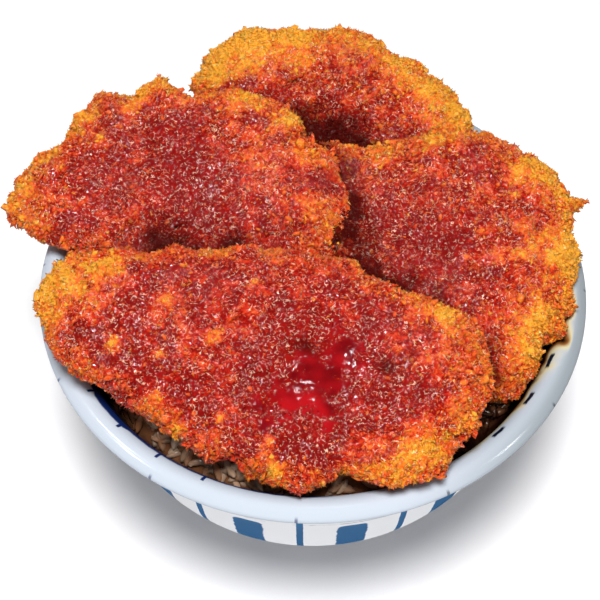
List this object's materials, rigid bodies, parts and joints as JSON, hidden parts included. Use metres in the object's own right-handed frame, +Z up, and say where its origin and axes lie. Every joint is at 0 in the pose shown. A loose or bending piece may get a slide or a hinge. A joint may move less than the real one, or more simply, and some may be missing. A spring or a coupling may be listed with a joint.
{
  "type": "bowl of tare katsudon",
  "caption": "Round footed donburi bowl of rice under a heap of sauced, panko-crusted pork cutlets.",
  "frame": {"origin": "on the surface that the foot ring stands on, under the middle of the whole object's box", "axes": "+Z up, +X to the right as seen from the front, where the widest cutlet lies, and +Y to the back"},
  "size_m": [0.1664, 0.1558, 0.1075],
  "materials": {
    "porcelain": "glossy white glaze with a pale blue lip and painted blue stripes",
    "rice": "moist cooked grains stained brown by the sauce",
    "crust": "coarse fried panko, golden at the edges and soaked red-brown with glossy sauce elsewhere"
  },
  "bodies": {
    "root": {"bowl": "porcelain", "rice": "rice", "cutlet_front": "crust", "cutlet_left": "crust", "cutlet_right": "crust", "cutlet_back": "crust"}
  },
  "joints": []
}
